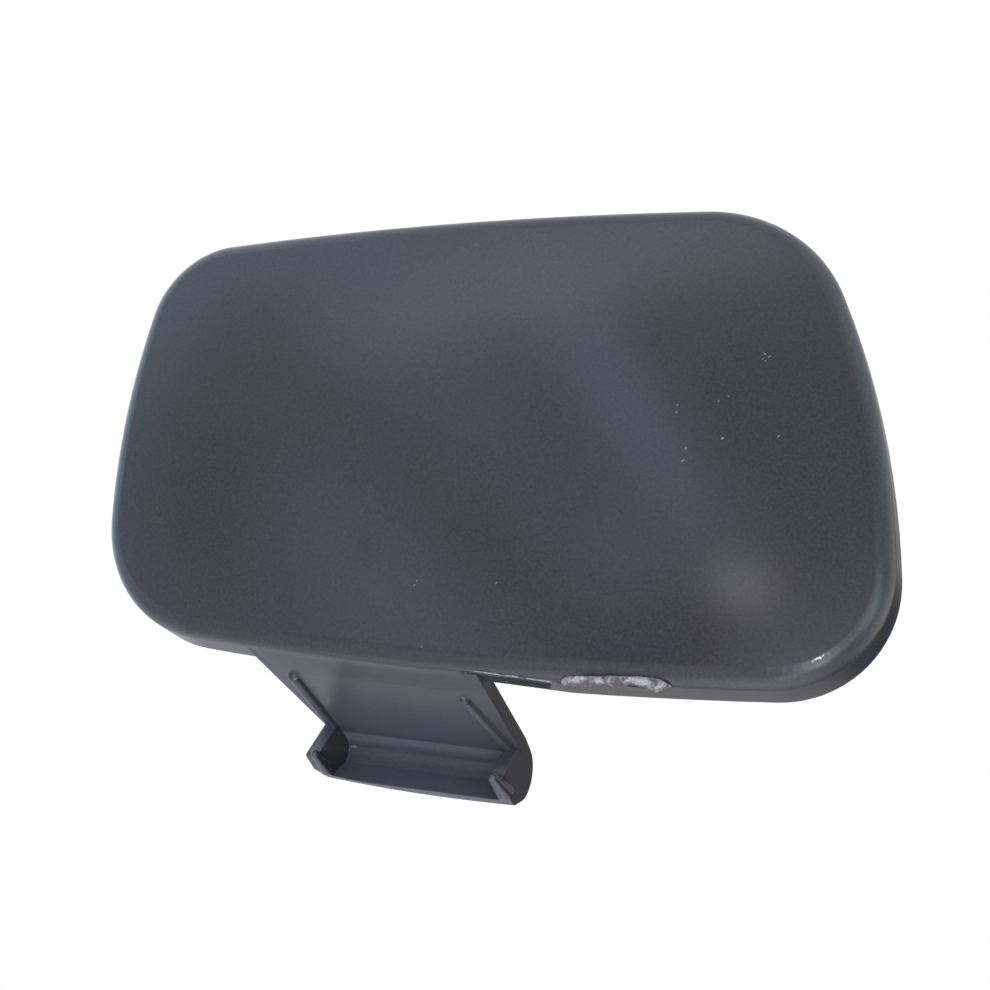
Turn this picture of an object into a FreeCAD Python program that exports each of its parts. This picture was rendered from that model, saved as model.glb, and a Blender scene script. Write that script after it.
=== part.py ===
import FreeCAD, Part
import math
import os

V = FreeCAD.Vector

# Bumper tow hook cover: one moulded piece. A crowned front shell with a rolled edge
# and a shallow rim, a hook tab at the lower edge and a snap tongue at the upper edge.
# Frame: +X to the right as seen from the front, +Y to the back, +Z up.
# The origin is the crown of the front face.

# Front outline: corner points, corner radii and the bow of each side
width = 90.0
top_left_z = 19.35
top_right_x = 29.6
top_right_z = 25.45
bottom_right_z = -24.75
bottom_left_x = -41.3
bottom_left_z = -25.9
radius_top_left = 9.6
radius_top_right = 16.0
radius_bottom_right = 12.0
radius_bottom_left = 15.5
bow_top = 0.1
bow_right = 3.95
bow_bottom = 2.8
bow_left = 2.5

# Shell
crown_radius = 290.0
face_wall = 1.9
rim_wall = 2.0
rim_depth = 4.2
rim_lean = 3.7
rolled_edge = 2.0

# Stiffening ribs behind the face
stiffener_width = 1.2
stiffener_pitch = 21.0
stiffener_set_back = 0.5

# Hook tab at the lower edge
hook_centre_x = -9.2
hook_width = 23.6
tab_thickness = 1.8
tab_droop = 8.6
tab_root_sink = 0.05
tab_root_flare_left = 2.2
tab_root_flare_right = 1.4
fold_y = 24.0
lip_centre_y = 25.3
lip_centre_drop = 3.8
lip_radius = 3.1
lip_drop = 7.7
lip_wall = 1.6
lip_edge_wall = 0.7
lip_low_x = -4.5
lip_rise_left = 0.8
lip_rise_right = 0.2

# End walls that close the lip
end_wall = 1.5
end_wall_crest_y = 22.4
end_wall_height = 4.4
end_wall_lean = 36.0
end_wall_toe_radius = 0.3

# Round-nosed ribs on the tab and at the feet of the end walls
rib_width = 1.4
rib_height = 0.6
rib_nose_y = 10.2
rib_toe_in_left = 0.4
rib_toe_in_right = 1.5
foot_rib_nose_radius = 0.47
foot_rib_radius = 0.78
foot_rib_nose_y = 18.4
foot_rib_end_y = 22.7
foot_rib_inset_left = 1.25
foot_rib_inset_right = 0.3
foot_rib_toe_in = 0.3
foot_rib_drop = 4.3
foot_rib_fall = 0.7

# Relief in the rim beside the tab
relief_length = 9.0
relief_depth = 0.5
relief_set_back = 0.4
relief_slant = 2.2

# Gate witness on the lower rim
gate_x = 18.5
gate_length = 9.0
gate_width = 1.3
gate_height = 0.25
gate_y = 3.3

# Snap tongue at the upper edge
snap_width = 10.0
snap_thickness = 1.5
snap_length = 9.0
snap_inset = 3.6
snap_catch = 1.3
snap_catch_length = 3.0
snap_gusset = 1.2

reach = 60.0


def polygon(points):
    return Part.makePolygon(points + [points[0]])


# Outline in the XZ plane: four bowed sides joined by corner arcs
def side_circle(start, end, bow):
    chord = end - start
    length = chord.Length
    radius = (length * length / 4 + bow * bow) / (2 * bow)
    outward = V(-chord.z, 0, chord.x) / length
    return (start + end) / 2 - outward * (radius - bow), radius


def corner_circle(before, after, radius, near):
    centre_1, radius_1 = before
    centre_2, radius_2 = after
    a = radius_1 - radius
    b = radius_2 - radius
    line = centre_2 - centre_1
    span = line.Length
    along = (a * a - b * b + span * span) / (2 * span)
    across = math.sqrt(max(a * a - along * along, 0))
    unit = line / span
    normal = V(-unit.z, 0, unit.x)
    foot = centre_1 + unit * along
    return min((foot + normal * across, foot - normal * across), key=lambda c: (c - near).Length)


def on_circle(centre, radius, towards):
    return centre + (towards - centre).normalize() * radius


def arc_between(centre, radius, start, end):
    middle = on_circle(centre, radius, (start + end) / 2)
    return Part.Arc(start, middle, end).toShape()


corners = [
    V(-width / 2, 0, top_left_z),
    V(top_right_x, 0, top_right_z),
    V(width / 2, 0, bottom_right_z),
    V(bottom_left_x, 0, bottom_left_z),
]
corner_radii = [radius_top_left, radius_top_right, radius_bottom_right, radius_bottom_left]
bows = [bow_top, bow_right, bow_bottom, bow_left]
sides = [side_circle(corners[i], corners[(i + 1) % 4], bows[i]) for i in range(4)]
corner_centres = [corner_circle(sides[i - 1], sides[i], corner_radii[i], corners[i]) for i in range(4)]


def tangent_point(side, corner, inset):
    centre, radius = sides[side]
    outward = (corner_centres[corner] - centre).normalize()
    return centre + outward * (radius - inset)


def outline_prism(inset, start_y, length):
    edges = []
    for i in range(4):
        following = (i + 1) % 4
        entry = tangent_point(i - 1, i, inset)
        leave = tangent_point(i, i, inset)
        arrive = tangent_point(i, following, inset)
        edges.append(arc_between(corner_centres[i], corner_radii[i] - inset, entry, leave))
        edges.append(arc_between(sides[i][0], sides[i][1] - inset, leave, arrive))
    face = Part.Face(Part.Wire(edges))
    face.translate(V(0, start_y, 0))
    return face.extrude(V(0, length, 0))


# Crowned block: everything behind a part of a sphere that touches the origin
def crowned_block(set_back, lean):
    centre = V(0, crown_radius, 0)
    block = Part.makeSphere(crown_radius, centre)
    block.rotate(V(0, 0, 0), V(1, 0, 0), lean)
    block.translate(V(0, set_back, 0))
    return block


# Shell: crowned front, rolled edge, leaning rear edge and a shallow hollow
front_block = crowned_block(0, 0)
rear_block = crowned_block(rim_depth, rim_lean)
blank = outline_prism(0, -1, reach / 2).common(front_block).cut(rear_block)
front_edges = []
for edge in blank.Edges:
    middle = edge.valueAt((edge.FirstParameter + edge.LastParameter) / 2)
    crown = (middle.x ** 2 + middle.z ** 2) / (2 * crown_radius)
    if middle.y - crown < rim_depth / 4 and abs(edge.tangentAt(edge.FirstParameter).y) < 0.5:
        front_edges.append(edge)
blank = blank.makeFillet(rolled_edge, front_edges)
hollow = outline_prism(rim_wall, -1, reach / 2).common(crowned_block(face_wall, 0))
shell = blank.cut(hollow)

# Stiffening ribs across the hollow
stiffener_rear = crowned_block(rim_depth - stiffener_set_back, rim_lean)
for step in (-1, 0, 1):
    bar = Part.makeBox(stiffener_width, reach / 2, 2 * reach)
    bar.translate(V(step * stiffener_pitch - stiffener_width / 2, 0, -reach))
    bar = bar.common(outline_prism(rim_wall / 2, -1, reach / 2))
    bar = bar.common(crowned_block(face_wall / 2, 0)).cut(stiffener_rear)
    shell = shell.fuse(bar)

# Lower side of the outline: the lowest point of its bow and its height at any x
bow_centre, bow_radius = sides[2]
bow_low_z = bow_centre.z - bow_radius
hook_left = hook_centre_x - hook_width / 2
hook_right = hook_centre_x + hook_width / 2


def rim_z(x):
    return bow_centre.z - math.sqrt(bow_radius ** 2 - (x - bow_centre.x) ** 2)


# Relief in the lower rim, deepest against the tab and fading out to the right
relief_x = hook_right
relief_end_x = relief_x + tab_root_flare_right + relief_length
relief_y = rolled_edge + relief_set_back
relief_front = polygon([
    V(relief_x, relief_y, rim_z(relief_x) + relief_depth),
    V(relief_end_x, relief_y, rim_z(relief_end_x)),
    V(relief_end_x, relief_y, bow_low_z - 1),
    V(relief_x, relief_y, bow_low_z - 1),
])
relief = Part.Face(relief_front).extrude(V(0, reach / 2, 0))
slant = polygon([
    V(relief_x - 1, 0, 0),
    V(relief_x - 1, relief_y, 0),
    V(relief_end_x, relief_y + relief_slant, 0),
    V(relief_end_x, 0, 0),
])
slant = Part.Face(slant)
slant.translate(V(0, 0, -reach))
shell = shell.cut(relief.cut(slant.extrude(V(0, 0, reach))))


# Tab: it leaves the rim where the rolled edge ends, bowed like the rim, and is level at the fold
def roll_end(x):
    return (x ** 2 + rim_z(x) ** 2) / (2 * crown_radius) + rolled_edge


root_left = hook_left - tab_root_flare_left
root_right = hook_right + tab_root_flare_right


def root_y(x):
    run = (x - root_left) / (root_right - root_left)
    return roll_end(root_left) * (1 - run) + roll_end(root_right) * run


tab_rise = tab_thickness / math.cos(math.radians(tab_droop))
tab_run = fold_y - roll_end(bow_centre.x)
fold_z = bow_low_z - tab_run * math.tan(math.radians(tab_droop))
tab_top_z = fold_z + tab_rise


def tab_under_z(x, y):
    root_z = rim_z(x) + tab_root_sink
    return root_z + (fold_z - root_z) * (y - root_y(x)) / (fold_y - root_y(x))


def root_arc(lift):
    ends = []
    for x in (root_left, hook_centre_x, root_right):
        ends.append(V(x, root_y(x), rim_z(x) + tab_root_sink + lift))
    return ends[0], ends[2], Part.Arc(*ends).toShape()


under_left, under_right, under_arc = root_arc(0)
over_left, over_right, over_arc = root_arc(tab_rise)
tab_root = Part.Wire([
    under_arc,
    Part.makeLine(under_right, over_right),
    over_arc,
    Part.makeLine(over_left, under_left),
])
tab_fold = polygon([
    V(hook_left, fold_y, fold_z),
    V(hook_right, fold_y, fold_z),
    V(hook_right, fold_y, tab_top_z),
    V(hook_left, fold_y, tab_top_z),
])
hook = Part.makeLoft([tab_root, tab_fold], True, True)

# Curled lip in side view: two bights about one centre, each a line, an arc and a line
lip_centre = V(0, lip_centre_y, tab_top_z - lip_centre_drop)
lip_bottom_z = tab_top_z - lip_drop
lip_edge_y = fold_y + lip_edge_wall / 2
outer_top = V(0, fold_y, tab_top_z)
outer_bottom = V(0, lip_edge_y, lip_bottom_z)
inner_top = V(0, fold_y, fold_z)
inner_bottom = V(0, lip_edge_y - lip_edge_wall, lip_bottom_z + lip_edge_wall / 2)


def touch(point, radius, turn):
    gap = point - lip_centre
    angle = math.degrees(math.acos(radius / gap.Length))
    unit = FreeCAD.Rotation(V(1, 0, 0), turn * angle).multVec(gap / gap.Length)
    return lip_centre + unit * radius


def bight(top, bottom, radius):
    upper = touch(top, radius, -1)
    lower = touch(bottom, radius, 1)
    middle = lip_centre + V(0, radius, 0)
    return [
        Part.makeLine(top, upper),
        Part.Arc(upper, middle, lower).toShape(),
        Part.makeLine(lower, bottom),
    ]


def across(edges, start_x, length):
    face = Part.Face(Part.Wire(edges))
    face.translate(V(start_x, 0, 0))
    return face.extrude(V(length, 0, 0))


outer_bight = bight(outer_top, outer_bottom, lip_radius)
inner_bight = bight(inner_top, inner_bottom, lip_radius - lip_wall)
lip_edges = outer_bight + [Part.makeLine(outer_bottom, inner_bottom)]
lip_edges += inner_bight[::-1] + [Part.makeLine(inner_top, outer_top)]
hook = hook.fuse(across(lip_edges, hook_left, hook_width))

# End walls: crest leaning forward, rounded toe, back following the lip
lean = math.radians(end_wall_lean)
crest_top = V(0, end_wall_crest_y, tab_under_z(hook_centre_x, end_wall_crest_y))
crest_toe = crest_top - V(0, math.tan(lean), 1) * end_wall_height
crest_head = crest_top + V(0, 0, tab_thickness / 2)
crest_run = (crest_top - crest_toe).normalize()
foot_run = (inner_bottom - crest_toe).normalize()
toe_angle = crest_run.getAngle(foot_run)
toe_trim = end_wall_toe_radius / math.tan(toe_angle / 2)
toe_centre = crest_toe + (crest_run + foot_run).normalize() * (end_wall_toe_radius / math.sin(toe_angle / 2))
toe_up = crest_toe + crest_run * toe_trim
toe_back = crest_toe + foot_run * toe_trim
toe_middle = toe_centre + (crest_toe - toe_centre).normalize() * end_wall_toe_radius
wall_edges = outer_bight + [
    Part.makeLine(outer_bottom, inner_bottom),
    Part.makeLine(inner_bottom, toe_back),
    Part.Arc(toe_back, toe_middle, toe_up).toShape(),
    Part.makeLine(toe_up, crest_top),
    Part.makeLine(crest_top, crest_head),
    Part.makeLine(crest_head, outer_top),
]
for wall_x in (hook_left, hook_right - end_wall):
    hook = hook.fuse(across(wall_edges, wall_x, end_wall))

# The free edge of the lip is bowed, lowest to the right of its middle
edge_left = V(hook_left, 0, lip_bottom_z + lip_rise_left)
edge_right = V(hook_right, 0, lip_bottom_z + lip_rise_right)
low_left = edge_left - V(0, 0, lip_drop)
low_right = edge_right - V(0, 0, lip_drop)
below = Part.Face(Part.Wire([
    Part.Arc(edge_left, V(lip_low_x, 0, lip_bottom_z), edge_right).toShape(),
    Part.makeLine(edge_right, low_right),
    Part.makeLine(low_right, low_left),
    Part.makeLine(low_left, edge_left),
])).extrude(V(0, reach, 0))
hook = hook.cut(below)


# Round-nosed ribs: bars with a ball nose, straight along the tab and widening at the wall feet
def round_nosed_bar(nose, end, nose_radius, end_radius):
    run = end - nose
    tip = V(-nose_radius, 0, 0)
    bend = V(-nose_radius * math.sqrt(0.5), nose_radius * math.sqrt(0.5), 0)
    shoulder = V(0, nose_radius, 0)
    corner = V(run.Length, end_radius, 0)
    foot = V(run.Length, 0, 0)
    half = Part.Face(Part.Wire([
        Part.Arc(tip, bend, shoulder).toShape(),
        Part.makeLine(shoulder, corner),
        Part.makeLine(corner, foot),
        Part.makeLine(foot, tip),
    ]))
    bar = half.revolve(V(0, 0, 0), V(1, 0, 0), 360)
    bar.Placement = FreeCAD.Placement(nose, FreeCAD.Rotation(V(1, 0, 0), run))
    return bar


def on_tab(x, y, stand_off):
    return V(x, y, tab_under_z(x, y) + stand_off)


rib_radius = rib_width / 2
sink = rib_radius - rib_height
left_rib_x = hook_left + end_wall / 2
right_rib_x = hook_right - end_wall / 2
for rib_x, toe_in in ((left_rib_x, rib_toe_in_left), (right_rib_x, -rib_toe_in_right)):
    nose = on_tab(rib_x + toe_in, rib_nose_y, sink)
    end = on_tab(rib_x + toe_in / 4, end_wall_crest_y + rib_radius, sink)
    hook = hook.fuse(round_nosed_bar(nose, end, rib_radius, rib_radius))
left_foot_x = hook_left + foot_rib_inset_left
right_foot_x = hook_right - foot_rib_inset_right
for foot_x, toe_in in ((left_foot_x, foot_rib_toe_in), (right_foot_x, -foot_rib_toe_in)):
    nose = V(foot_x + toe_in, foot_rib_nose_y, crest_top.z - foot_rib_drop)
    end = V(foot_x, foot_rib_end_y, nose.z - foot_rib_fall)
    hook = hook.fuse(round_nosed_bar(nose, end, foot_rib_nose_radius, foot_rib_radius))

cover = shell.fuse(hook)

# Gate witness: a low flat pad left where the runner was trimmed off
gate = Part.makeBox(gate_length, gate_width, 1 + gate_height)
gate.translate(V(gate_x - gate_length / 2, gate_y - gate_width / 2, rim_z(gate_x) - gate_height))
cover = cover.fuse(gate)

# Snap tongue behind the upper edge, parallel to that edge
top_run = corners[1] - corners[0]
top_slope = math.degrees(math.atan2(top_run.z, top_run.x))
top_edge_z = top_left_z + (hook_centre_x + width / 2) * top_run.z / top_run.x + bow_top
tongue_top = -snap_inset
tongue_end = rim_depth + snap_length
catch_base = tongue_end - snap_catch_length
tongue = polygon([
    V(0, face_wall / 2, tongue_top - snap_thickness - snap_gusset),
    V(0, rim_depth, tongue_top - snap_thickness),
    V(0, tongue_end, tongue_top - snap_thickness),
    V(0, tongue_end, tongue_top),
    V(0, catch_base, tongue_top + snap_catch),
    V(0, catch_base, tongue_top),
    V(0, face_wall / 2, tongue_top),
])
tongue = Part.Face(tongue).extrude(V(snap_width, 0, 0))
tongue.translate(V(-snap_width / 2, 0, 0))
tongue.rotate(V(0, 0, 0), V(0, 1, 0), -top_slope)
tongue.translate(V(hook_centre_x, 0, top_edge_z))
tongue = tongue.common(crowned_block(face_wall / 2, 0))
cover = cover.fuse(tongue)

cover = cover.removeSplitter()
if cover.ShapeType == "Compound" and len(cover.Solids) == 1:
    cover = cover.Solids[0]

os.makedirs("parts", exist_ok=True)
cover.exportStep("parts/tow_hook_cover.step")
print("valid", cover.isValid(), "solids", len(cover.Solids), "volume", round(cover.Volume, 1))
print("box", cover.BoundBox)
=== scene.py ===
import bpy
import math
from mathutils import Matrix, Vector, noise
from mathutils.bvhtree import BVHTree


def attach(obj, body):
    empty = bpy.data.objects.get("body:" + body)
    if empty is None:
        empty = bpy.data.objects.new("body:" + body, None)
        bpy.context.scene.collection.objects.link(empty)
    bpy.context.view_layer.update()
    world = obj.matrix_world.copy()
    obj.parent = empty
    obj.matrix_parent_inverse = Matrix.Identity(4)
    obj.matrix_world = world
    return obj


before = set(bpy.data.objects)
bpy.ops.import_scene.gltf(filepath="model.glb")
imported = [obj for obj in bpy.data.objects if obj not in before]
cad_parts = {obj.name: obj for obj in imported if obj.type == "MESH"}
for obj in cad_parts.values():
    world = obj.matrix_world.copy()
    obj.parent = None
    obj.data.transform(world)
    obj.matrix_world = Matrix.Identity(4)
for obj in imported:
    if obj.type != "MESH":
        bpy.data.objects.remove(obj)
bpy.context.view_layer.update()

scene = bpy.context.scene
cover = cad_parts["tow_hook_cover"]

# Lengths are in metres. +X is to the right seen from the front, +Y to the back, +Z up
# Camera: right of the part and below it, looking up. Its turns are tilt, roll and heading in degrees
CAMERA_PLACE = (0.0789, -0.1758, -0.0715)
CAMERA_TURNS = (108.20, -10.98, 19.63)
CAMERA_LENS = 71.33
SENSOR_WIDTH = 36
NEAREST, FARTHEST = 0.005, 10

camera_data = bpy.data.cameras.new("camera")
camera = bpy.data.objects.new("camera", camera_data)
scene.collection.objects.link(camera)
camera.location = CAMERA_PLACE
camera.rotation_euler = [math.radians(turn) for turn in CAMERA_TURNS]
camera_data.sensor_width = SENSOR_WIDTH
camera_data.lens = CAMERA_LENS
camera_data.clip_start = NEAREST
camera_data.clip_end = FARTHEST
scene.camera = camera
scene.view_settings.view_transform = "Standard"


# Small helpers for node trees
class Tree:
    def __init__(self, owner):
        owner.use_nodes = True
        self.nodes = owner.node_tree.nodes
        self.links = owner.node_tree.links

    def feed(self, socket, value):
        if isinstance(value, bpy.types.NodeSocket):
            self.links.new(value, socket)
        else:
            socket.default_value = value

    def math(self, operation, *values):
        node = self.nodes.new("ShaderNodeMath")
        node.operation = operation
        for socket, value in zip(node.inputs, values):
            self.feed(socket, value)
        return node.outputs[0]

    def vector(self, operation, *values):
        node = self.nodes.new("ShaderNodeVectorMath")
        node.operation = operation
        for socket, value in zip(node.inputs, values):
            self.feed(socket, value)
        return node.outputs["Value" if operation in ("DOT_PRODUCT", "DISTANCE") else "Vector"]

    def scaled(self, colour, weight):
        node = self.nodes.new("ShaderNodeVectorMath")
        node.operation = "SCALE"
        self.feed(node.inputs[0], colour)
        self.feed(node.inputs["Scale"], weight)
        return node.outputs["Vector"]

    # Smooth step from 0 at start to 1 at full; start may be the larger of the two
    def step(self, value, start, full):
        node = self.nodes.new("ShaderNodeMapRange")
        node.interpolation_type = "SMOOTHSTEP"
        self.feed(node.inputs["Value"], value)
        self.feed(node.inputs["From Min"], start)
        self.feed(node.inputs["From Max"], full)
        return node.outputs["Result"]

    def product(self, *values):
        result = values[0]
        for value in values[1:]:
            result = self.math("MULTIPLY", result, value)
        return result

    def sum(self, *values):
        result = values[0]
        for value in values[1:]:
            result = self.vector("ADD", result, value)
        return result

    # One plus a share of the mask: raises what it multiplies where the mask is, or lowers it
    def change(self, mask, share):
        return self.math("ADD", self.product(mask, share), 1.0)

    def largest(self, *values):
        result = values[0]
        for value in values[1:]:
            result = self.math("MAXIMUM", result, value)
        return result

    def grain(self, spot, scale, detail):
        node = self.nodes.new("ShaderNodeTexNoise")
        self.feed(node.inputs["Vector"], spot)
        node.inputs["Scale"].default_value = scale
        node.inputs["Detail"].default_value = detail
        return node.outputs[0]

    def split(self, vector):
        node = self.nodes.new("ShaderNodeSeparateXYZ")
        self.feed(node.inputs[0], vector)
        return node.outputs

    def bump(self, height, strength, distance, normal=None):
        node = self.nodes.new("ShaderNodeBump")
        node.inputs["Strength"].default_value = strength
        node.inputs["Distance"].default_value = distance
        self.feed(node.inputs["Height"], height)
        if normal:
            self.feed(node.inputs["Normal"], normal)
        return node.outputs[0]


# Tints of the panels, and the even light of the walls
SKY = (0.50, 0.80, 1.0)
PALE = (0.80, 0.90, 1.0)
WHITE = (0.95, 0.95, 1.0)
WARM = (1.0, 0.95, 0.88)
WALLS = (0.370, 0.345, 0.350)

# Name, tint, strength (negative takes light away, as a dark screen does), azimuth from the front
# (right is positive), elevation, turn, half length, half width
PANELS = (
    ("ceiling", PALE, 0.72, 0, 90, 0, 1.8, 1.5),
    ("left window", SKY, 1.38, -90, 15, 20, 1.25, 0.60),
    ("table", WHITE, 1.4, 0, -75, 0, 0.75, 1.2),
    ("low front strip", WHITE, 1.2, 25, -40, 85, 0.75, 0.17),
    ("right wall", WARM, 1.1, 115, 0, 10, 0.70, 0.50),
    ("front window", SKY, 1.1, -20, 9, -25, 0.50, 0.15),
    ("window edge", SKY, 1.05, -13, 21, -46, 0.19, 0.05),
    ("upper haze", PALE, 0.80, -17, 32, 20, 0.35, 0.07),
    ("small glow", WHITE, 1.7, -3, 10, -10, 0.045, 0.036),
    ("low right window", PALE, 3.2, 20, -20, 40, 0.13, 0.45),
    ("right window", PALE, 1.9, 40, 0, -20, 0.50, 0.20),
    ("left table", PALE, 0.57, -110, -35, -5, 0.80, 0.20),
    ("screen above", SKY, -0.45, 5, 25, 20, 0.80, 0.25),
    ("screen in front", SKY, -1.1, -18, 8, -35, 0.50, 0.08),
    ("screen at the left", SKY, -1.35, -44, 16, -50, 0.20, 0.15),
    ("screen by the glow", SKY, -1.1, -5, 7, -55, 0.07, 0.15),
    ("screen behind", WHITE, -0.75, 150, -10, 65, 0.65, 0.30),
    ("screen below", WHITE, -1.0, -18, -60, 30, 0.75, 0.45),
)
# Keeps each panel to its own half of the room
LEAST_FACING = 0.03


# Soft panel seen from the part: brightness fades like a bell along and across it
def panel(room, direction, azimuth, elevation, turn, half_length, half_width):
    around = math.radians(azimuth)
    rise = math.radians(elevation)
    spin = math.radians(turn)
    level = math.cos(rise)
    axis = Vector((math.sin(around) * level, -math.cos(around) * level, math.sin(rise)))
    side = Vector((math.cos(around), math.sin(around), 0))
    up = axis.cross(side)
    along = (side * math.cos(spin) + up * math.sin(spin)) / half_length
    aside = (up * math.cos(spin) - side * math.sin(spin)) / half_width
    facing = room.largest(room.vector("DOT_PRODUCT", direction, axis), LEAST_FACING)
    p = room.math("DIVIDE", room.vector("DOT_PRODUCT", direction, along), facing)
    q = room.math("DIVIDE", room.vector("DOT_PRODUCT", direction, aside), facing)
    reach = room.math("ADD", room.product(p, p), room.product(q, q))
    return room.math("EXPONENT", room.product(reach, -1.0))


# Studio: plain white to the camera, and a room of soft panels for everything else
def studio():
    world = bpy.data.worlds.new("studio")
    room = Tree(world)
    direction = room.nodes.new("ShaderNodeTexCoord").outputs["Generated"]
    light = WALLS
    for name, tint, strength, *spread in PANELS:
        shape = panel(room, direction, *spread)
        shape.node.label = name
        light = room.sum(light, room.scaled([strength * part for part in tint], shape))
    light = room.vector("MAXIMUM", light, (0.0, 0.0, 0.0))
    path = room.nodes.new("ShaderNodeLightPath")
    shown = room.nodes.new("ShaderNodeMix")
    shown.data_type = "RGBA"
    room.feed(shown.inputs["Factor"], path.outputs["Is Camera Ray"])
    first, second = [socket for socket in shown.inputs if socket.type == "RGBA"]
    room.feed(first, light)
    room.feed(second, (1, 1, 1, 1))
    mixed = [socket for socket in shown.outputs if socket.type == "RGBA"][0]
    room.feed(room.nodes["Background"].inputs["Color"], mixed)
    return world


# Zones of the moulded plastic, each from where it starts to where it is full. Depth runs back
# from the crown of the face, and height up from it
HOOK_DEPTH = (0.0060, 0.0105)
ROOT_DEPTH = (0.0028, 0.0048)
ROOT_LEFT_SIDE = (-0.0240, -0.0228)
ROOT_RIGHT_SIDE = (0.0052, 0.0042)
# Share of the normal that looks right, and share that looks to either side
RIGHT_FACING = (0.55, 0.85)
BETWEEN_WALLS = (0.60, 0.35)
# Where the fold of the lip gets a painted highlight
FOLD_DEPTH = (0.0238, 0.0244)
FOLD_HEIGHT = (-0.0322, -0.0316)
# Height below which the lip gets painted light
LOWER_LIP_LIGHT_HEIGHT = (-0.0331, -0.0346)
# Ribs at the feet of the end walls, below a line that falls towards the back. These and the rib noses are
# glossier and get painted shade
FEET_BACK = (0.0236, 0.0228)
FEET_FRONT = (0.0160, 0.0170)
FEET_HEIGHT = (-0.0306, -0.0311)
FEET_FALL = 0.2
RIB_NOSES = ((-0.01985, 0.0101, -0.02910), (0.00035, 0.0101, -0.02915))
NOSE_REACH = (0.00085, 0.00065)

# Colour and gloss of the moulded plastic, and how much its zones raise or lower them
SLATE = (0.0550, 0.0605, 0.0748)
PLAIN_TONE = 0.63
FINE_GRAIN = {"scale": 3600, "detail": 1}
FINE_SHARE = 0.62
BROAD_GRAIN = {"scale": 45, "detail": 3}
BROAD_SHARE = 0.12
TOOL_MARKS = {"scale": 3800, "detail": 2}
MARK_STRETCH = (0.02, 1.0, 1.0)
MARK_SHARE = 0.34
HOOK_TONE = 0.45
# Painted shade on the hook's sides that face right
RIGHT_SIDE_SHADE_TONE = -0.55
# Painted highlight along the fold of the lip
FOLD_HIGHLIGHT_TONE = 1.0
# Painted light on the lower part of the lip
LOWER_LIP_LIGHT_TONE = 0.70
# Painted shade on the small ribs and rib noses
RIB_SHADE_TONE = -0.30
PLAIN_ROUGHNESS = 0.065
BROAD_ROUGHNESS = 0.04
SATIN_ROUGHNESS = 0.22
POLISH_GLOSS = -0.85
PLASTIC_IOR = 1.5
EDGE_ROUNDING = 0.00022
EDGE_SAMPLES = 4
GRAIN_BUMP = {"strength": 0.08, "distance": 0.00002}


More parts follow.
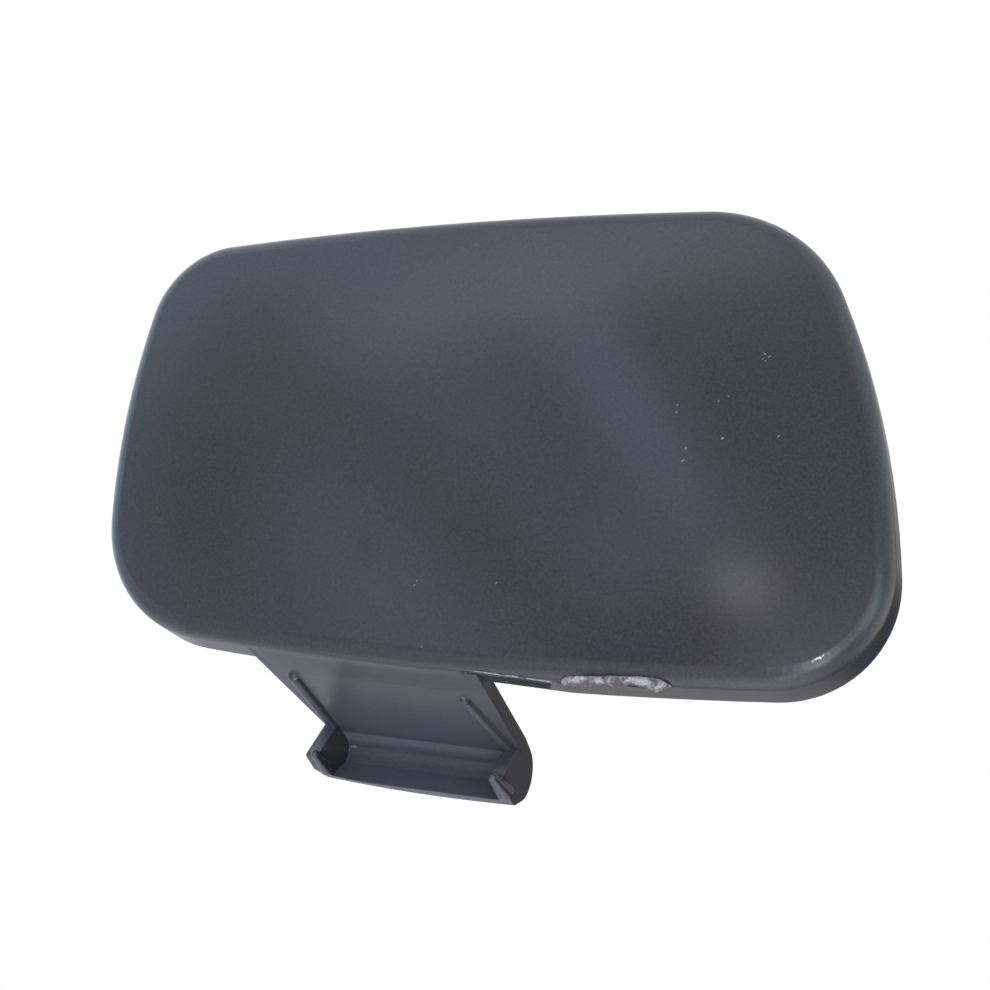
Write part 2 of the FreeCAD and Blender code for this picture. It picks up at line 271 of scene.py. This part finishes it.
# Moulded plastic: dark slate and glossy, with a fine grain. The hook and the root of its tab are
# satin, and the hook is paler, with tool marks across it. Painted shade darkens the hook's sides that
# face right, a painted highlight lightens the fold of its lip, painted light lightens the lower part of
# the lip, and its small ribs are glossier and darkened with painted shade
def moulded_plastic():
    plastic = bpy.data.materials.new("moulded_plastic")
    skin = Tree(plastic)
    coordinates = skin.nodes.new("ShaderNodeTexCoord")
    place = coordinates.outputs["Object"]
    across, depth, height = skin.split(place)
    right = skin.split(coordinates.outputs["Normal"])[0]

    hook = skin.step(depth, *HOOK_DEPTH)
    root_sides = skin.product(skin.step(across, *ROOT_LEFT_SIDE), skin.step(across, *ROOT_RIGHT_SIDE))
    root = skin.product(skin.step(depth, *ROOT_DEPTH), root_sides)
    # Painted shade: darkens the hook's sides that face right
    right_side_shade = skin.product(hook, skin.step(right, *RIGHT_FACING))
    lip = skin.product(hook, skin.step(skin.math("ABSOLUTE", right), *BETWEEN_WALLS))
    # Painted highlight: lightens the hook along the fold of its lip
    fold = skin.product(lip, skin.step(depth, *FOLD_DEPTH), skin.step(height, *FOLD_HEIGHT))
    # Painted light: lightens the lower part of the hook's lip
    lit_lower_lip = skin.product(lip, skin.step(height, *LOWER_LIP_LIGHT_HEIGHT))
    low = skin.math("ADD", height, skin.product(depth, FEET_FALL))
    feet = skin.product(skin.step(depth, *FEET_BACK), skin.step(depth, *FEET_FRONT))
    feet = skin.product(feet, skin.step(low, *FEET_HEIGHT))
    noses = [skin.step(skin.vector("DISTANCE", place, nose), *NOSE_REACH) for nose in RIB_NOSES]
    # Small ribs and rib noses: glossier, and darkened with painted shade
    polish_and_shade = skin.largest(feet, *noses)

    fine = skin.grain(place, **FINE_GRAIN)
    broad = skin.grain(place, **BROAD_GRAIN)
    marks = skin.grain(skin.vector("MULTIPLY", place, MARK_STRETCH), **TOOL_MARKS)
    uneven = skin.math("SUBTRACT", skin.product(marks, MARK_SHARE), MARK_SHARE / 2)
    tone = skin.math("ADD", skin.product(fine, FINE_SHARE), skin.product(broad, BROAD_SHARE))
    tone = skin.math("ADD", tone, skin.product(hook, uneven))
    tone = skin.math("ADD", tone, PLAIN_TONE)
    zones = (
        (hook, HOOK_TONE),
        # Painted shade on the sides that face right
        (right_side_shade, RIGHT_SIDE_SHADE_TONE),
        # Painted highlight along the fold
        (fold, FOLD_HIGHLIGHT_TONE),
        # Painted light on the lower part of the lip
        (lit_lower_lip, LOWER_LIP_LIGHT_TONE),
        # Painted shade on the small ribs
        (polish_and_shade, RIB_SHADE_TONE),
    )
    for zone, share in zones:
        tone = skin.product(tone, skin.change(zone, share))

    satin = skin.product(skin.largest(hook, root), skin.change(polish_and_shade, POLISH_GLOSS))
    rough = skin.math("ADD", skin.product(broad, BROAD_ROUGHNESS), PLAIN_ROUGHNESS)
    rough = skin.math("ADD", rough, skin.product(satin, SATIN_ROUGHNESS))

    rounded = skin.nodes.new("ShaderNodeBevel")
    rounded.samples = EDGE_SAMPLES
    rounded.inputs["Radius"].default_value = EDGE_ROUNDING
    shader = skin.nodes["Principled BSDF"]
    skin.feed(shader.inputs["Base Color"], skin.scaled(SLATE, tone))
    skin.feed(shader.inputs["Roughness"], rough)
    shader.inputs["IOR"].default_value = PLASTIC_IOR
    skin.feed(shader.inputs["Normal"], skin.bump(fine, normal=rounded.outputs[0], **GRAIN_BUMP))
    return plastic


# Torn plastic: tufts and hollows in patches. Parts that face down take the dark colour of the hollows as
# painted shade
TUFT_COLOUR = (0.56, 0.57, 0.60)
HOLLOW_AND_SHADE_COLOUR = (0.14, 0.125, 0.13)
PATCH_GRAIN = {"scale": 900, "detail": 2}
PATCH_EDGES = (0.34, 0.58)
SHADED_UNDERSIDE = (-1.02, -0.62)
FIBRE_GRAIN = {"scale": 5200, "detail": 2}
FIBRE_EDGES = (0.30, 0.70)
FIBRE_SHARE, FIBRE_PLAIN = 0.5, 0.6
TORN_ROUGHNESS = 0.55
FIBRE_BUMP = {"strength": 0.2, "distance": 0.00006}


def torn_plastic():
    torn = bpy.data.materials.new("torn_plastic")
    tear = Tree(torn)
    coordinates = tear.nodes.new("ShaderNodeTexCoord")
    place = coordinates.outputs["Object"]
    upward = tear.split(coordinates.outputs["Normal"])[2]
    patches = tear.step(tear.grain(place, **PATCH_GRAIN), *PATCH_EDGES)
    # Painted shade: parts that face down lose their pale tufts and turn dark
    patches = tear.product(patches, tear.step(upward, *SHADED_UNDERSIDE))
    fibres = tear.step(tear.grain(place, **FIBRE_GRAIN), *FIBRE_EDGES)
    tufts = tear.scaled(TUFT_COLOUR, patches)
    hollows_and_shade = tear.scaled(HOLLOW_AND_SHADE_COLOUR, tear.change(patches, -1.0))
    tone = tear.math("ADD", tear.product(fibres, FIBRE_SHARE), FIBRE_PLAIN)
    shader = tear.nodes["Principled BSDF"]
    tear.feed(shader.inputs["Base Color"], tear.scaled(tear.sum(tufts, hollows_and_shade), tone))
    shader.inputs["Roughness"].default_value = TORN_ROUGHNESS
    tear.feed(shader.inputs["Normal"], tear.bump(fibres, **FIBRE_BUMP))
    return torn


# Rough material of one mottled colour
def mottled(name, colour, grain, share, plain, roughness):
    material = bpy.data.materials.new(name)
    tree = Tree(material)
    place = tree.nodes.new("ShaderNodeTexCoord").outputs["Object"]
    tone = tree.math("ADD", tree.product(tree.grain(place, **grain), share), plain)
    shader = tree.nodes["Principled BSDF"]
    tree.feed(shader.inputs["Base Color"], tree.scaled(colour, tone))
    shader.inputs["Roughness"].default_value = roughness
    return material


# Pale fibres and grains of dust. The same colour paints two pale dots as highlights on the rib noses
DUST_AND_HIGHLIGHTS = {
    "colour": (0.26, 0.25, 0.26),
    "grain": {"scale": 9000, "detail": 2},
    "share": 0.7,
    "plain": 0.55,
    "roughness": 0.8,
}


# Own piece: a closed mesh, attached to the root body
def new_piece(name, points, faces, material):
    mesh = bpy.data.meshes.new(name)
    mesh.from_pydata([tuple(point) for point in points], [], faces)
    mesh.shade_smooth()
    mesh.materials.append(material)
    piece = bpy.data.objects.new(name, mesh)
    scene.collection.objects.link(piece)
    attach(piece, "root")


# Outline of the crowned face: radius of the crown, and its lower side, bowed between two corners
CROWN_RADIUS = 0.290
LOWER_LEFT = Vector((-0.0413, -0.0259))
LOWER_RIGHT = Vector((0.0450, -0.02475))
LOWER_BOW = 0.0028


def on_face(x, z):
    return Vector((x, CROWN_RADIUS - math.sqrt(CROWN_RADIUS ** 2 - x * x - z * z), z))


def lower_edge(x):
    share = (x - LOWER_LEFT.x) / (LOWER_RIGHT.x - LOWER_LEFT.x)
    return LOWER_LEFT.lerp(LOWER_RIGHT, share).y - LOWER_BOW * 4 * share * (1 - share)


def between(start, end, share):
    return start + (end - start) * share


# Closed bead of rings round a path from 0 to 1. For each share along it, trace gives the middle,
# half depth and half height of the ring, and lump gives how far a point stands out
def bead(rings, around, trace, lump):
    points, faces = [], []
    for i in range(rings + 1):
        middle, deep, high = trace(i / rings)
        for j in range(around):
            turn = math.tau * j / around
            spoke = Vector((0, math.cos(turn) * deep, math.sin(turn) * high))
            points.append(middle + spoke * (1 + lump(middle + spoke)))
    for i in range(rings):
        for j in range(around):
            k = (j + 1) % around
            faces.append((i * around + j, i * around + k, (i + 1) * around + k, (i + 1) * around + j))
    faces.append(tuple(reversed(range(around))))
    faces.append(tuple(rings * around + j for j in range(around)))
    return points, faces


# Radius that a bead keeps at its closed ends
BEAD_TIP = 0.00001

# The torn plastic of the gate: crumbled, along the lower roll. Pairs are at its left and right end.
# Its crest stands up and forward, and a knob near the right end makes it thicker there
SCAR_RINGS, SCAR_AROUND = 160, 40
SCAR_SPAN = (0.0131, 0.0244)
SCAR_DEPTH = (0.0037, 0.0034)
SCAR_HALF_DEPTH = (0.00150, 0.00080)
SCAR_HALF_HEIGHT = (0.00062, 0.00044)
SCAR_DROP = 0.00002
SCAR_TAPERS = (0.06, 0.12)
CREST_UP, CREST_FORWARD, CREST_LEAN = 0.00018, 0.0006, 1.5
KNOB_HEIGHT, KNOB_PLACE, KNOB_WIDTH = 0.00018, 0.85, 0.06
CRUMBS = ((800, 0.30), (2400, 0.13), (6000, 0.04))


def scar_trace(s):
    x = between(*SCAR_SPAN, s)
    taper = min(1.0, s / SCAR_TAPERS[0]) ** 0.5 * min(1.0, (1 - s) / SCAR_TAPERS[1]) ** 0.5
    crest = math.sin(math.pi * s ** CREST_LEAN)
    knob = KNOB_HEIGHT * math.exp(-((s - KNOB_PLACE) / KNOB_WIDTH) ** 2)
    y = between(*SCAR_DEPTH, s) - CREST_FORWARD * crest
    z = lower_edge(x) - SCAR_DROP + CREST_UP * crest - knob
    half_depth = between(*SCAR_HALF_DEPTH, s) * taper + BEAD_TIP
    half_height = (between(*SCAR_HALF_HEIGHT, s) + knob) * taper + BEAD_TIP
    return Vector((x, y, z)), half_depth, half_height


def crumble(spot):
    return sum(noise.noise(spot * scale) * height for scale, height in CRUMBS)


# Thin raised line above the relief, from the tab to the scar. Its pale torn-plastic colour paints the
# highlight along that edge, with painted shade under it. Pairs are at its left and right end
LINE_RINGS, LINE_AROUND = 60, 16
LINE_SPAN = (0.0036, 0.0134)
LINE_DEPTH = (0.0023, 0.0032)
LINE_SWEEP = 0.0010
LINE_RAISE = 0.00017
LINE_HALF_DEPTH = (0.00012, 0.00020)
LINE_HALF_HEIGHT = (0.00006, 0.00016)
LINE_TAPER = 0.1


def line_trace(s):
    x = between(*LINE_SPAN, s)
    taper = min(1.0, s / LINE_TAPER, (1 - s) / LINE_TAPER) ** 0.5
    y = between(*LINE_DEPTH, s) + LINE_SWEEP * s ** 3
    z = lower_edge(x) + LINE_RAISE * (1 - s) ** 2
    half_depth = between(*LINE_HALF_DEPTH, s) * taper + BEAD_TIP
    half_height = between(*LINE_HALF_HEIGHT, s) * taper + BEAD_TIP
    return Vector((x, y, z)), half_depth, half_height


# Soft root of the tab: a thin skin that leads the rolled edge smoothly into the tab.
# It leaves the roll where the tab's underside, carried on forward, is furthest above it, and
# closes that gap step by step towards the rear. Its four borders are sunk in
ROOT_SPAN = (-0.0228, 0.0036)
ROOT_LEAN, LEAN_START = 0.11, 0.004
ROOT_NEAR, ROOT_BACK = 0.0068, 0.0090
ROLL_START, ROLL_STEP, ROLL_STEPS = 0.0020, 0.00005, 52
ROOT_COLUMNS, ROOT_ROWS = 96, 44
# Rows before the skin leaves the roll, and the columns and rows over which its borders sink
LEAD_ROWS, SIDE_COLUMNS, BACK_ROWS = 4, 5, 6
ROOT_SUNK, ROOT_LIFT, ROOT_THICKNESS = 0.00003, 0.000004, 0.0005
# Height to look up from, below the whole part
BELOW = -0.05


def tab_root():
    solid = BVHTree.FromObject(cover, bpy.context.evaluated_depsgraph_get())

    def height(x, y):
        return solid.ray_cast(Vector((x, y, BELOW)), Vector((0, 0, 1)))[0].z

    lower, upper = [], []
    for i in range(ROOT_COLUMNS + 1):
        root_x = between(*ROOT_SPAN, i / ROOT_COLUMNS)
        lean = ROOT_LEAN * (1 - 2 * i / ROOT_COLUMNS)

        def at(y):
            return root_x + lean * max(0.0, y - LEAN_START)

        back_z = height(at(ROOT_BACK), ROOT_BACK)
        fall = (back_z - height(at(ROOT_NEAR), ROOT_NEAR)) / (ROOT_BACK - ROOT_NEAR)
        roll = [ROLL_START + ROLL_STEP * k for k in range(ROLL_STEPS + 1)]
        gap, start = max((back_z + fall * (y - ROOT_BACK) - height(at(y), y), y) for y in roll)
        edge = min(1.0, min(i, ROOT_COLUMNS - i) / SIDE_COLUMNS)
        for j in range(-LEAD_ROWS, ROOT_ROWS + 1):
            share = j / ROOT_ROWS
            y = between(start, ROOT_BACK, share)
            own = height(at(y), y)
            closing = 1 - share * share * (3 - 2 * share)
            led = min(own, back_z + fall * (y - ROOT_BACK) - gap * closing) if j > 0 else own
            rim = min((j + LEAD_ROWS) / LEAD_ROWS, (ROOT_ROWS - j) / BACK_ROWS, edge)
            sink = ROOT_SUNK * (1 - rim) if rim < 1 else -ROOT_LIFT
            lower.append((at(y), y, between(own, led, edge) + sink))
            upper.append((at(y), y, own + ROOT_THICKNESS))
    return lower + upper, slab_faces(ROOT_COLUMNS, LEAD_ROWS + ROOT_ROWS)


# Faces of a closed slab between a lower and an upper grid of points, listed column by column
def slab_faces(columns, rows):
    line = rows + 1
    count = (columns + 1) * line
    faces = []
    for i in range(columns):
        for j in range(rows):
            a = i * line + j
            faces.append((a, a + 1, a + line + 1, a + line))
            faces.append((count + a, count + a + line, count + a + line + 1, count + a + 1))
    for j in range(rows):
        faces.append((j, count + j, count + j + 1, j + 1))
        a = columns * line + j
        faces.append((a, a + 1, count + a + 1, count + a))
    for i in range(columns):
        a = i * line
        faces.append((a, a + line, count + a + line, count + a))
        a += rows
        faces.append((a, count + a, count + a + line, a + line))
    return faces


# A speck of dust, and also a painted highlight on a rib nose: a ball of rings, flattened on the face and
# roughened
SPECK_RINGS, SPECK_COLUMNS = 7, 12
SPECK_FLATNESS = 0.3
SPECK_LUMP, SPECK_GRAIN = 0.5, 1.7


def speck(centre, normal, length, width, turn, seed):
    side = Vector((1, 0, 0)) - normal * normal.x
    side.normalize()
    up = normal.cross(side)
    along = (side * math.cos(turn) + up * math.sin(turn)) * length
    aside = (up * math.cos(turn) - side * math.sin(turn)) * width
    out = normal * width * SPECK_FLATNESS
    points, faces = [centre - out], []
    for i in range(1, SPECK_RINGS):
        polar = math.pi * i / SPECK_RINGS
        round_part = math.sin(polar)
        for j in range(SPECK_COLUMNS):
            angle = math.tau * j / SPECK_COLUMNS
            spoke = Vector((round_part * math.cos(angle), round_part * math.sin(angle), -math.cos(polar)))
            lump = 1 + SPECK_LUMP * noise.noise(spoke * SPECK_GRAIN + Vector((seed, 0, 0)))
            points.append(centre + (along * spoke.x + aside * spoke.y + out * spoke.z) * lump)
    points.append(centre + out)
    last = len(points) - 1
    for j in range(SPECK_COLUMNS):
        k = (j + 1) % SPECK_COLUMNS
        faces.append((0, 1 + k, 1 + j))
        faces.append((last, last - SPECK_COLUMNS + j, last - SPECK_COLUMNS + k))
        for i in range(SPECK_RINGS - 2):
            a = 1 + i * SPECK_COLUMNS
            faces.append((a + j, a + k, a + SPECK_COLUMNS + k, a + SPECK_COLUMNS + j))
    return points, faces


# Specks on the face: x and z, half length, half width, turn in degrees
FACE_SPECKS = (
    (0.0209, 0.0014, 0.00011, 0.00008, 0),
    (0.0209, 0.0006, 0.00013, 0.00009, 70),
    (0.0250, 0.0022, 0.00013, 0.00009, 80),
    (0.0259, 0.0028, 0.00009, 0.00007, 30),
    (0.0260, -0.0018, 0.00016, 0.00013, 20),
    (0.0225, -0.0032, 0.00016, 0.00013, 70),
    (0.0224, -0.0045, 0.00024, 0.00011, 42),
    (0.0315, -0.0010, 0.00013, 0.00009, 60),
    (0.0288, 0.0078, 0.00017, 0.00007, -40),
    (0.0287, 0.0072, 0.00013, 0.00007, 60),
    (0.0293, 0.0075, 0.00017, 0.00007, 50),
    (0.0290, 0.0070, 0.00013, 0.00007, -20),
    (-0.0036, -0.0200, 0.00014, 0.00007, 60),
    (-0.0034, -0.0195, 0.00014, 0.00007, 60),
    (0.0053, -0.0190, 0.00011, 0.00009, 30),
    (-0.0016, -0.0263, 0.00010, 0.00008, 0),
)
# Specks on the hook and the rim: place, outward normal, half length, half width, turn in degrees.
# The last two lie on the noses of the tab's ribs: pale dots that are painted highlights, not dust
HOOK_SPECKS = (
    ((-0.01589, 0.00662, -0.02828), (-0.04, -0.17, -0.98), 0.00011, 0.00008, 0),
    ((-0.01203, 0.01037, -0.02902), (-0.02, -0.16, -0.99), 0.00010, 0.00008, 0),
    ((-0.00851, 0.02497, -0.03158), (0.00, -0.30, -0.95), 0.00017, 0.00013, 0),
    ((-0.01890, 0.02653, -0.03240), (0.00, -0.82, -0.57), 0.00041, 0.00018, 0),
    ((0.00618, 0.00641, -0.02768), (-0.02, 0.00, -1.00), 0.00015, 0.00010, 0),
    ((-0.01060, 0.00504, -0.02820), (-0.03, -0.16, -0.99), 0.00009, 0.00007, 0),
    ((-0.01938, 0.00986, -0.02905), (0.67, -0.49, -0.56), 0.00022, 0.00015, 0),
    ((0.00044, 0.00952, -0.02913), (0.13, -0.98, -0.16), 0.00020, 0.00016, 0),
)


def dust_and_nose_highlights():
    crown_centre = Vector((0, CROWN_RADIUS, 0))
    specks = []
    for x, z, *form in FACE_SPECKS:
        spot = on_face(x, z)
        specks.append((spot, spot - crown_centre, *form))
    for spot, normal, *form in HOOK_SPECKS:
        specks.append((Vector(spot), Vector(normal), *form))
    points, faces = [], []
    for seed, (spot, normal, length, width, turn) in enumerate(specks):
        ball_points, ball_faces = speck(spot, normal.normalized(), length, width, math.radians(turn), seed)
        faces += [tuple(i + len(points) for i in face) for face in ball_faces]
        points += ball_points
    return points, faces


# Small lamp beside the camera, seen as a star on the rolled edge
LAMP_TARGET = Vector((0.0383, 0.0035, -0.0228))
LAMP_DIRECTION = Vector((0.19, -0.976, -0.11)).normalized()
LAMP_DISTANCE = 0.6
LAMP_SIZE = 0.008
LAMP_ENERGY = 0.075


def small_lamp():
    lamp_data = bpy.data.lights.new("small_lamp", "AREA")
    lamp = bpy.data.objects.new("small_lamp", lamp_data)
    scene.collection.objects.link(lamp)
    lamp_data.shape = "DISK"
    lamp_data.size = LAMP_SIZE
    lamp_data.energy = LAMP_ENERGY
    lamp.location = LAMP_TARGET + LAMP_DIRECTION * LAMP_DISTANCE
    lamp.rotation_euler = LAMP_DIRECTION.to_track_quat("Z", "Y").to_euler()


# Pale floor well below the part; it takes no light from the room
FLOOR_HALF = 2
FLOOR_HEIGHT = -0.5
PAPER = {
    "colour": (0.93, 0.93, 0.94),
    "grain": {"scale": 6, "detail": 4},
    "share": 0.04,
    "plain": 0.88,
    "roughness": 0.9,
}


def pale_floor():
    signs = ((-1, -1), (1, -1), (1, 1), (-1, 1))
    corners = [(x * FLOOR_HALF, y * FLOOR_HALF, FLOOR_HEIGHT) for x, y in signs]
    mesh = bpy.data.meshes.new("floor")
    mesh.from_pydata(corners, [], [(0, 1, 2, 3)])
    mesh.materials.append(mottled("pale_floor", **PAPER))
    floor = bpy.data.objects.new("floor", mesh)
    scene.collection.objects.link(floor)
    floor.visible_diffuse = False
    floor.visible_glossy = False
    floor.visible_shadow = False


scene.world = studio()
plastic = moulded_plastic()
torn = torn_plastic()
for slot in cover.material_slots:
    slot.material = plastic
new_piece("gate_scar", *bead(SCAR_RINGS, SCAR_AROUND, scar_trace, crumble), torn)
# Pale line that paints the highlight along the top of the relief
new_piece("relief_line", *bead(LINE_RINGS, LINE_AROUND, line_trace, lambda spot: 0), torn)
new_piece("tab_root", *tab_root(), plastic)
# Dust specks, and two pale dots that paint highlights on the rib noses
new_piece("dust_and_nose_highlights", *dust_and_nose_highlights(), mottled("dust", **DUST_AND_HIGHLIGHTS))
small_lamp()
pale_floor()
